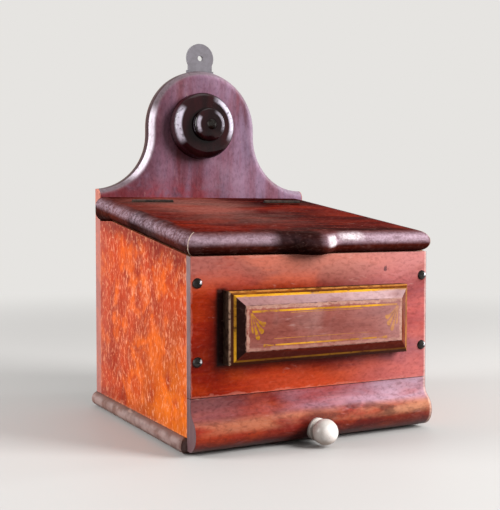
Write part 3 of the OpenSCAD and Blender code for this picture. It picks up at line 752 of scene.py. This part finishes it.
@dataclass
class NameBlock:
    """The raised block on the front, with its gilt lines and leaves.

    Attributes:
        rim: Width of the sloping rim.
        field: Distance from the outline to the raised field.
        y_rim: Where the outer edge lies.
        gilt: Colour of the gilding.
        gilt_deep: Colour of the gilding where it is thin.
        fan: Root, tip and half width of each leaf, from the field's end and the block's middle.
    """

    rim: float = 3.0 * MM
    field: float = 10.1 * MM
    y_rim: float = -108.9 * MM
    gilt: str = "d89c24"
    gilt_deep: str = "a06c1c"
    fan: tuple = (
        ((0.0046, 0.0106), (0.0135, 0.0032), 0.0013),
        ((0.0042, 0.0104), (0.0118, -0.0010), 0.0014),
        ((0.0038, 0.0102), (0.0086, -0.0048), 0.0014),
        ((0.0032, 0.0100), (0.0045, -0.0020), 0.0006),
    )

    def leaf(self, s: Shader, x: Socket, z: Socket, root: tuple, tip: tuple, wide: float) -> Socket:
        """Draws one tapered leaf, thin at its root and round at its tip.

        Args:
            s: Tree to build in.
            x: Distance along the block.
            z: Height.
            root: Where the leaf starts.
            tip: Where it ends.
            wide: Half of its width at the tip.

        Returns:
            1 inside the leaf.
        """
        run = (tip[0] - root[0], tip[1] - root[1])
        length = run[0] ** 2 + run[1] ** 2
        dx, dz = s.less(x, root[0]), s.less(z, root[1])
        along = s.total(s.product(dx, run[0]), s.product(dz, run[1]))
        share = s.node("ShaderNodeClamp", {0: s.maths("DIVIDE", along, length)}).outputs[0]
        off = s.away(s.less(dx, s.product(share, run[0])), s.less(dz, s.product(share, run[1])))
        radius = s.total(s.product(s.maths("POWER", share, 1.6), wide), 0.00022)
        return s.rise(s.less(off, radius), 0.00015, -0.00015)

    def ornament(self, s: Shader, x: Socket, z: Socket) -> Socket:
        """Draws the fans of leaves at both ends of the field and the lines between them.

        Args:
            s: Tree to build in.
            x: Coordinate along the block.
            z: Height.

        Returns:
            1 where there is gilding.
        """
        side = s.less(BLOCK_HALF_WIDTH - self.field, s.size(x))
        up = s.less(z, BLOCK_MIDDLE)
        # each leaf hangs down before it swings out
        bent = s.less(up, s.product(s.less(side, 0.004), s.less(side, 0.0150), 55.0))
        leaves = [self.leaf(s, side, bent, *row) for row in self.fan]
        # each line: its height, half width, soft edge, where it starts, and its strength
        rows = (
            (0.0116, 0.0006, 0.0002, 0.0040, 0.0044, 1.0),
            (0.0098, 0.0001, 0.0002, 0.034, 0.036, 0.6),
            (-0.0122, 0.0004, 0.0003, 0.0222, 0.0226, 0.85),
            (-0.0078, 0.0001, 0.0002, 0.0210, 0.0216, 0.5),
        )
        lines = [s.mask(s.band(up, *row[:3]), (side, *row[3:5]), row[5]) for row in rows]
        dash = self.leaf(s, side, up, (0.0212, -0.0122), (0.0140, -0.0122), 0.0009)
        return s.either(*leaves, *lines, dash)

    def material(self) -> Material:
        """Builds the block's finish: gilt rim, brown bevel, worn field, with painted shade and sheen.

        Returns:
            The material.
        """
        s = Shader("name_block_finish")
        x, y, z = s.axes()
        up = s.less(z, BLOCK_MIDDLE)
        gap_x, gap_z = s.less(BLOCK_HALF_WIDTH, s.size(x)), s.less(BLOCK_HALF_HEIGHT, s.size(up))
        inset = s.least(gap_x, gap_z)
        level = s.rise(s.less(gap_x, gap_z), -0.0002, 0.0002)
        upper = s.mask(level, (up, -0.001, 0.001))
        lower = s.less(level, upper)
        left = s.mask(s.inverse(level), (x, 0.001, -0.001))
        ragged = s.noise(210, 4, 0.5, 1.7)
        broad = s.noise(40, 2, 0.4, 6.9, Axis.ACROSS, 2.0)
        rubbed = s.noise(330, 5, 0.4, 2.9, Axis.ACROSS, 2.0)
        broken = (ragged, 0.3, 0.5)
        rim = s.coats(
            BLOCK_RIM.paint(s),
            # painted shade on the rim's lower and left faces
            ("32100a", lower, 0.85),
            ("3c2220", left, 0.8),
            ("401808", s.band(inset, 0.0019, 0.0003, 0.0003), broken, 0.6),
        )
        bevel = s.coats(
            BLOCK_BEVEL.paint(s),
            # painted sheen on the upper bevel, painted shade on its lower and left faces
            ("c0a0a2", upper, (broad, 0.25, 0.55), s.weigh(s.rise(x, -0.07, 0.07), 0.4, 0.85)),
            ("4a0e02", lower, 0.9),
            ("0c0202", left, 0.95),
        )
        # the field has a painted sheen towards the right
        top = s.coats(BLOCK_FIELD.paint(s), ("b89090", (x, -0.02, 0.07), (broad, 0.2, 0.6), 0.35))
        look = s.over(s.rise(inset, self.rim - 0.0001, self.rim + 0.0001), rim, bevel)
        look = s.over(s.rise(inset, self.field - 0.0001, self.field + 0.0001), look, top)
        look = s.coats(look, ("3c1816", s.band(inset, self.field - 0.0003, 0.0002, 0.0002), broken, 0.6))
        # pale edge of the field, rubbed wider in places
        wavy = s.total(inset, s.product(s.less(ragged, 0.5), -0.004))
        chips = s.mask(s.band(wavy, self.field + 0.0008, 0.0008, 0.0008), (ragged, 0.25, 0.50))
        wear_and_glint = Look(s.blend(ragged, "94604c", "d0a898"), 0.5, s.less(look.height, 0.0001))
        look = s.over(s.product(chips, s.weigh(lower, 0.75, 0.4)), look, wear_and_glint)
        # gilding, rubbed through in places
        keep = s.rise(s.total(rubbed, s.product(broad, 0.5)), 0.56, 0.72)
        keep = s.product(keep, s.weigh(s.rise(x, 0.040, 0.056), 1.0, 0.2))
        border = s.product(s.band(inset, self.rim + 0.0002, 0.0006, 0.0003), s.weigh(lower, 1.0, 0.35))
        drawn = s.mask(self.ornament(s, x, z), (inset, self.field, self.field + 0.0002))
        gold = s.product(s.either(border, drawn), s.inverse(s.product(s.inverse(keep), 0.75)))
        tone = s.blend(s.rise(broad, 0.35, 0.65), self.gilt_deep, self.gilt)
        look = s.over(gold, look, Look(tone, 0.34, s.total(look.height, 0.00003)))
        # rubbed outer arris with a painted highlight, and outer faces painted nearly black as shade
        arris = s.mask(s.band(inset, 0.0004, 0.0004, 0.0003), (rubbed, 0.35, 0.55), s.inverse(lower), 0.8)
        look = s.over(arris, look, Look(s.blend(left, "b47838", "c8a488"), 0.45, look.height))
        flank = s.mask((y, self.y_rim - 0.0001, self.y_rim + 0.0006), 0.9)
        look = s.over(flank, look, Look(s.blend(rubbed, "0a0504", "241410"), 0.4, look.height))
        return s.close(s.aged(look, Axis.ACROSS, 0.35, 54.0), 0.08)

    def dress(self) -> dict:
        """Gives the block its material."""
        return {"name_block": self.material()}


@dataclass
class Crest:
    """The turned boss on the crest and the plate that hangs the box up.

    Attributes:
        boss_x: Place of the boss along X.
        boss_z: Height of the boss.
        groove: Radius of the groove round the button.
        rim_left: Radius of the painted highlight on the left rim.
        rim_right: Radius of the painted highlight on the right rim.
        button: Radius of the painted highlight on the button's rim.
    """

    boss_x: float = -6.5 * MM
    boss_z: float = 244 * MM
    groove: float = 14.5 * MM
    rim_left: float = 26.2 * MM
    rim_right: float = 24.6 * MM
    button: float = 11.8 * MM

    def boss(self) -> Material:
        """Builds the boss: nearly black lacquer over lathe rings, with painted highlights and shade.

        Returns:
            The material.
        """
        s = Shader("boss_finish")
        x, _, z = s.axes()
        dx, dz = s.less(x, self.boss_x), s.less(z, self.boss_z)
        radius = s.away(dx, dz)
        wear_and_glint = s.noise(300, 4, 0.5, 5.0)
        left = s.rise(s.maths("DIVIDE", dx, radius), -0.76, -0.94)
        turned = s.total(s.product(dx, 0.94), s.product(dz, 0.34))
        right = s.rise(s.maths("DIVIDE", turned, radius), 0.55, 0.95)
        both = s.either(left, s.product(right, 0.5))
        rim_highlights = s.either(
            s.product(s.band(radius, self.rim_left, 0.0010, 0.0020), left),
            s.product(s.band(radius, self.rim_right, 0.0010, 0.0026), right, 0.95),
            s.product(s.band(radius, self.button, 0.0006, 0.0016), both, 0.7),
        )
        look = s.coats(
            BOSS_WOOD.paint(s),
            # painted shade in the groove round the button, painted highlights on the rims
            ("080303", s.band(radius, self.groove, 0.0006, 0.0008), 0.7),
            ("dcd4e4", rim_highlights, (wear_and_glint, 0.2, 0.5), 0.8),
        )
        return s.close(replace(look, height=s.product(look.height, 0.15)), 0.0, 0.4)

    def dress(self) -> dict:
        """Gives the boss, the plate and their screws their materials.

        Returns:
            The materials by node.
        """
        iron = BLACK_IRON.material("crest_iron")
        return {
            "boss": self.boss(),
            "boss_screw": iron,
            "hanging_plate": OLD_ZINC.material("old_zinc"),
            "hanging_plate_screws": iron,
        }


@dataclass
class Lid:
    """The lid, the fixed rail behind it and the hinges between them.

    Attributes:
        half_width: Half of the lid's width.
        middle: Sideways place of the lid.
        front: How far the lid reaches past the face of the box, along the slope.
        thick: Thickness of the lid.
        hollow_x: Where the painted shade in the hollow beside the thumb lift lies, from the lid's middle.
        spot_x: Where the lift's right slope catches the light.
        glow_x: Where the edge beside it does.
    """

    half_width: float = 102 * MM
    middle: float = -2 * MM
    front: float = 4 * MM
    thick: float = 16 * MM
    hollow_x: float = -16 * MM
    spot_x: float = 10 * MM
    glow_x: float = 30 * MM

    def leaning(self, s: Shader) -> Socket:
        """Gives coordinates that lean with the lid: across, up the slope, and out of it."""
        inputs = {"Vector": s.place, "Location": (self.middle, Y_FRONT, Z_FRONT), "Rotation": (SLOPE, 0, 0)}
        return s.node("ShaderNodeMapping", inputs, vector_type="TEXTURE").outputs[0]

    def board(self, name: str, bare_below: bool) -> Material:
        """Builds the finish of the lid or the rail: streaked top, dark rubbed edges, painted light and shade.

        Args:
            name: Name of the material.
            bare_below: Whether the underside is bare wood.

        Returns:
            The material.
        """
        s = Shader(name)
        place = self.leaning(s)
        x, up_slope, out = s.axes(place)
        cloud = s.noise(30, 4, 0.6, 3.8, Axis.ACROSS, 2.5, place)
        streak = s.noise(150, 5, 0.4, 5.8, Axis.ACROSS, 5.0, place)
        crazed = s.noise(520, 4, 0.8, 6.8, place=place)
        wander = s.product(s.less(s.noise(45, 3, 0.4, 4.4, place=place), 0.5), 0.010)
        side_gap, front_gap = s.less(self.half_width, s.size(x)), s.total(up_slope, self.front)
        gap, past = s.least(side_gap, front_gap), s.less(side_gap, front_gap)
        front = s.rise(past, 0.0, 0.002)
        rounded = s.rise(s.total(gap, wander), 0.0115, 0.0065)
        # painted reflection on the flat near the crest, painted lilac highlight on the round edge's upper half
        bloom_and_sheen = s.mask((x, 0.045, -0.01), (up_slope, -0.01, 0.12), (cloud, 0.3, 0.6))
        bloom_and_sheen = s.product(bloom_and_sheen, s.inverse(rounded), s.weigh(s.rise(x, -0.095, -0.04), 0.12, 0.38))
        speckle = s.weigh(s.rise(crazed, 0.42, 0.58), s.weigh(front, 0.45, 0.75), 1.0)
        crown = s.product(s.band(out, self.thick * 0.72, 0.0004, 0.0050), rounded)
        crown = s.product(crown, s.mask((streak, 0.2, 0.55), speckle))
        # the light dies in the hollow before the lift and jumps on its right slope
        hollow = s.product(s.band(x, self.hollow_x, 0.012, 0.012), front, rounded)
        strength = s.weigh(s.rise(x, -0.09, 0.08), 0.55, 0.9)
        # the painted highlight along the edge, dimmed in the hollow
        rub_and_sheen = s.product(crown, strength, s.inverse(s.product(hollow, 0.95)))
        spot = (s.band(x, self.spot_x, 0.002, 0.005), s.band(out, self.thick * 0.66, 0.0020, 0.0030), 0.9)
        glow = (s.band(x, self.glow_x, 0.005, 0.009), s.band(out, self.thick * 0.80, 0.0008, 0.0030), 0.75)
        shine = s.product(s.either(s.product(*spot), s.product(*glow)), front, rounded)
        look = s.coats(
            s.over(rounded, MAHOGANY_LID.paint(s, None, place), LID_EDGE.paint(s, None, place)),
            ("a0685e", bloom_and_sheen),
            ("080303", hollow, 0.75),
            ("bca2b0", rub_and_sheen),
            ("f0e4e8", shine, s.weigh(s.rise(crazed, 0.4, 0.6), 0.6, 1.0)),
            # painted shade on the lower half of the round edge
            ("120606", (out, self.thick * 0.35, self.thick * 0.05), rounded, 0.6),
            # the mitre at the front corners carries a thin painted highlight
            ("c9b4a4", (s.size(past), 0.0007, 0.0003), (gap, 0.0078, 0.0070), (gap, -0.001, 0.0), 0.6),
        )
        look = s.aged(replace(look, rough=s.weigh(rub_and_sheen, look.rough, 0.4)), Axis.ACROSS, 0.55, 44.0, place)
        if bare_below:
            below = s.mask((out, 0.0010, 0.0005), (gap, 0.007, 0.008))
            look = s.over(below, look, RAW_FLAT.paint(s))
        return s.close(look, 0.0, 0.03)

    def dress(self) -> dict:
        """Gives the lid, the rail and the hinges their materials.

        Returns:
            The materials by node.
        """
        brass = AGED_BRASS.material("aged_brass")
        finishes = {
            "lid_board": self.board("lid_board_finish", True),
            "hinge_rail": self.board("hinge_rail_finish", False),
            "rail_leaf_screws": brass,
            "lid_leaf_screws": brass,
        }
        for side in ("left", "right"):
            for piece in ("rail_leaf", "lid_leaf", "hinge_pin"):
                finishes[f"{side}_{piece}"] = brass
        return finishes


@dataclass
class Drawer:
    """The drawer with its moulded front and its turned knob.

    Attributes:
        y_back: Back of the drawer's front.
        y_neck: Where the knob's neck ends.
        knob_x: Place of the knob along X.
        knob_z: Height of the knob.
    """

    y_back: float = -94.3 * MM
    y_neck: float = -127.5 * MM
    knob_x: float = -3.5 * MM
    knob_z: float = 10.9 * MM

    def front(self) -> Material:
        """Builds the moulded front: painted sheen in its hollow, a rubbed roll, darker foot, grey ends.

        Returns:
            The material.
        """
        s = Shader("drawer_front_finish")
        x, y, z = s.axes()
        rub_and_sheen = s.noise(70, 4, 0.5, 4.0, Axis.ACROSS, 4.0)
        blots = s.noise(75, 4, 0.8, 12.5, Axis.ACROSS, 2.0)
        from_knob = s.away(s.less(x, self.knob_x), s.less(z, self.knob_z))
        roll = s.band(z, 0.0200, 0.0020, 0.005)
        look = s.coats(
            MAHOGANY_DRAWER.paint(s),
            # painted lilac sheen in the hollow and on the right
            ("b89cb0", s.band(z, 0.032, 0.005, 0.006), (rub_and_sheen, 0.25, 0.60), (x, -0.08, 0.07), 0.65),
            ("b098a8", (x, 0.02, 0.1), (rub_and_sheen, 0.2, 0.6), (z, 0.021, 0.028), 0.45),
            # the roll is rubbed and carries a painted highlight, its foot is dark
            ("c08464", roll, (rub_and_sheen, 0.36, 0.60), s.weigh(s.rise(x, -0.05, 0.08), 0.4, 0.7)),
            ("2a0806", (s.total(z, s.product(rub_and_sheen, 0.006)), 0.017, 0.005), 0.75),
            # dull left end, stains, and a pale right end
            ("7c5458", (x, -0.035, -0.085), (z, 0.020, 0.027), (rub_and_sheen, 0.2, 0.55), 0.5),
            ("360e0a", (blots, 0.53, 0.64), (z, 0.030, 0.022), 0.55),
            ("d8b4a4", (x, HALF_WIDTH - 0.0030, HALF_WIDTH - 0.0012), (rub_and_sheen, 0.3, 0.5), 0.6),
            # dirt round the knob
            ("2c0a08", (s.total(from_knob, s.product(rub_and_sheen, 0.008)), 0.022, 0.012), 0.6),
        )
        ends = s.ends(0.2 * MM, 0.6 * MM)
        outer = s.over(ends, s.aged(look, Axis.ACROSS, 0.55, 64.0), END_GRAIN.paint(s))
        inside = s.mask((y, self.y_back - 0.0010, self.y_back - 0.0004), s.inverse(ends))
        return s.close(s.over(inside, outer, RAW_FLAT.paint(s)), 0.3)

    def knob(self) -> Material:
        """Builds the knob: cream bone with fine cracks, stains and a greyer neck.

        Returns:
            The material.
        """
        s = Shader("drawer_knob_finish")
        _, y, z = s.axes()
        cloud = s.noise(130, 4, 0.4, 1.0)
        fine = s.noise(900, 3, 0.2, 2.0, Axis.DEPTH, 5.0)
        cells = s.node("ShaderNodeTexVoronoi", {"Vector": s.place, "Scale": 210}, feature="DISTANCE_TO_EDGE")
        lines = s.mask((cells.outputs["Distance"], 0.018, 0.0), (cloud, 0.42, 0.60))
        colour = s.coated(
            s.blend(s.rise(cloud, 0.40, 0.68), "faf5f2", "ece2dc"),
            ("ccbcae", (fine, 0.55, 0.72), 0.3),
            ("8a6a48", lines, 0.45),
            ("a39a90", (y, self.y_neck, self.y_neck + 3 * MM), 0.6),
            ("c8a07c", (z, 0.008, 0.003), 0.35),
        )
        height = s.total(s.product(cloud, 0.0001), s.product(lines, -0.00004))
        return s.close(Look(colour, s.total(s.product(cloud, 0.15), 0.22), height), 0.5, 0.2)

    def dress(self) -> dict:
        """Gives each node of the drawer its material.

        Returns:
            The materials by node.
        """
        iron = BLACK_IRON.material("drawer_iron")
        woods = {"left_side": RAW_DEPTH, "right_side": RAW_DEPTH, "back": RAW_FLAT, "bottom": RAW_FLAT}
        return {
            "drawer_front": self.front(),
            **{f"drawer_{part}": bare_board(f"drawer_{part}", wood) for part, wood in woods.items()},
            "drawer_nails": iron,
            "drawer_knob": self.knob(),
            "knob_stud": iron,
        }


@dataclass(frozen=True)
class Softening:
    """Rounds the sharp edges of boards by a fraction of a millimetre.

    Attributes:
        width: How far the edges are rounded, in metres.
        names: The boards' nodes.
        join: Points that lie nearer than this become one.
        segments: Count of facets in the rounding.
        sharp: Edges that turn by more than this are rounded.
    """

    width: float
    names: tuple
    join: float = 0.01 * MM
    segments: int = 3
    sharp: float = math.radians(38)

    def apply(self, nodes: dict) -> None:
        """Adds the rounding to the nodes.

        Args:
            nodes: The frame's nodes by name.
        """
        for name in self.names:
            weld = nodes[name].modifiers.new("join", "WELD")
            weld.merge_threshold = self.join
            bevel = nodes[name].modifiers.new("soften", "BEVEL")
            bevel.width = self.width
            bevel.segments = self.segments
            bevel.limit_method = "ANGLE"
            bevel.angle_limit = self.sharp
            bevel.harden_normals = False
            nodes[name].modifiers.new("even", "WEIGHTED_NORMAL")


CASE_EDGES = Softening(0.7 * MM, ("left_side", "right_side", "backboard"))
DRAWER_EDGES = Softening(0.6 * MM, ("drawer_left_side", "drawer_right_side", "drawer_back"))
FRONT_EDGES = Softening(0.5 * MM, ("name_block", "drawer_front"))


@dataclass(frozen=True)
class Softbox:
    """One soft lamp that points at the middle of the box.

    Attributes:
        name: Name of the lamp.
        place: Where it stands.
        size: Its width and height.
        power: Its power.
        glints: Whether it shows in gloss.
        aim: What it points at.
    """

    name: str
    place: tuple
    size: tuple
    power: float
    glints: bool = True
    aim: tuple = (0, 0, 0.14)

    def build(self) -> None:
        """Makes the lamp."""
        made = bpy.data.lights.new(self.name, "AREA")
        made.shape = "RECTANGLE"
        made.size, made.size_y = self.size
        made.energy = self.power
        holder = bpy.data.objects.new(self.name, made)
        holder.location = self.place
        holder.visible_glossy = self.glints
        ray = Vector(self.aim) - Vector(self.place)
        holder.rotation_euler = ray.to_track_quat("-Z", "Y").to_euler()
        bpy.context.scene.collection.objects.link(holder)


@dataclass
class Studio:
    """Floor, light and camera.

    Attributes:
        eye: Place of the camera.
        turn: Rotation of the camera.
        lens: Focal length for the sensor.
        sensor: Width of the sensor.
        backdrop: Colour of the floor and of what is behind.
        ambient: Strength of the even light.
        radius: Radius of the floor.
        fade: Between which distances from the box the floor goes over into the backdrop.
        lamps: The soft lamps.
    """

    eye: tuple = (-0.358565, -0.681882, 0.166243)
    turn: tuple = (math.pi / 2 - 0.044, 0.0, -0.482)
    lens: float = 66.4
    sensor: float = 36.0
    backdrop: str = "e6e4e1"
    ambient: float = 0.36
    radius: float = 14.0
    fade: tuple = (0.35, 1.3)
    lamps: tuple = (
        Softbox("left_lamp", (-1.20, 0.30, 0.55), (0.55, 0.95), 21.0),
        Softbox("right_lamp", (1.00, -1.10, 0.85), (0.70, 1.00), 48.0, False),
        Softbox("side_lamp", (1.10, -0.20, 0.45), (0.12, 0.50), 4.0),
        Softbox("top_lamp", (0.2, 0.1, 1.5), (0.8, 0.8), 3.0),
    )

    def camera(self) -> None:
        """Makes the camera at the photograph's angle."""
        made = bpy.data.cameras.new("camera")
        made.lens, made.sensor_width = self.lens, self.sensor
        made.clip_start, made.clip_end = 0.02, 60
        holder = bpy.data.objects.new("camera", made)
        holder.location, holder.rotation_euler = self.eye, self.turn
        bpy.context.scene.collection.objects.link(holder)
        bpy.context.scene.camera = holder

    def world(self) -> None:
        """Makes the even light, with the pale backdrop where it is seen."""
        made = bpy.data.worlds.new("studio")
        t = Tree(made)
        even = t.node("ShaderNodeBackground", {0: (1, 1, 1, 1), 1: self.ambient})
        wall = t.node("ShaderNodeBackground", {0: linear(self.backdrop), 1: 1.0})
        t.node("ShaderNodeOutputWorld", {0: t.mixed(t.seen(), even.outputs[0], wall.outputs[0])})
        bpy.context.scene.world = made

    def floor(self) -> None:
        """Makes the floor, which goes over into the backdrop away from the box."""
        mesh = bpy.data.meshes.new("floor")
        shape = bmesh.new()
        bmesh.ops.create_circle(shape, cap_ends=True, radius=self.radius, segments=96)
        shape.to_mesh(mesh)
        shape.free()
        floor = bpy.data.objects.new("floor", mesh)
        bpy.context.scene.collection.objects.link(floor)
        s = Shader("floor_finish")
        x, y, _ = s.axes()
        colour = s.blend(s.product(s.noise(3.0, 3, 0.2, 1.0), 0.12), "b6b4b2", "aaa8a5")
        s.close(Look(colour, 0.55, 0.0), 0.2)
        far = s.node("ShaderNodeEmission", {0: linear(self.backdrop)}).outputs[0]
        # the floor throws little light back at the box
        dim = s.node("ShaderNodeBsdfDiffuse", {0: linear("7a7572")}).outputs[0]
        seen = s.seen()
        near = s.mixed(seen, dim, s.surface.outputs[0])
        share = s.product(s.rise(s.away(x, y), *self.fade), seen)
        s.feed(s.mixed(share, near, far), s.output.inputs[0])
        mesh.materials.append(s.material)

    def build(self) -> None:
        """Makes the whole studio."""
        bpy.context.scene.view_settings.view_transform = "Standard"
        self.world()
        self.floor()
        self.camera()
        for lamp in self.lamps:
            lamp.build()


@dataclass
class Box:
    """The whole object, as the classes of its parts."""

    parts: list = field(default_factory=lambda: [Carcase(), NameBlock(), Crest(), Lid(), Drawer()])

    def dress(self, nodes: dict) -> None:
        """Dresses every node of the frame.

        Args:
            nodes: The frame's nodes by name.
        """
        for part in self.parts:
            for name, material in part.dress().items():
                mesh = nodes[name].data
                mesh.materials.clear()
                mesh.materials.append(material)
                LOG.info("%s: %s", name, material.name)
        for edges in (CASE_EDGES, DRAWER_EDGES, FRONT_EDGES):
            edges.apply(nodes)


def main() -> None:
    """Builds the looks."""
    logging.basicConfig(level=logging.INFO, format="%(message)s")
    Studio().build()
    Box().dress(frame["nodes"])


if __name__ == "__main__":
    main()
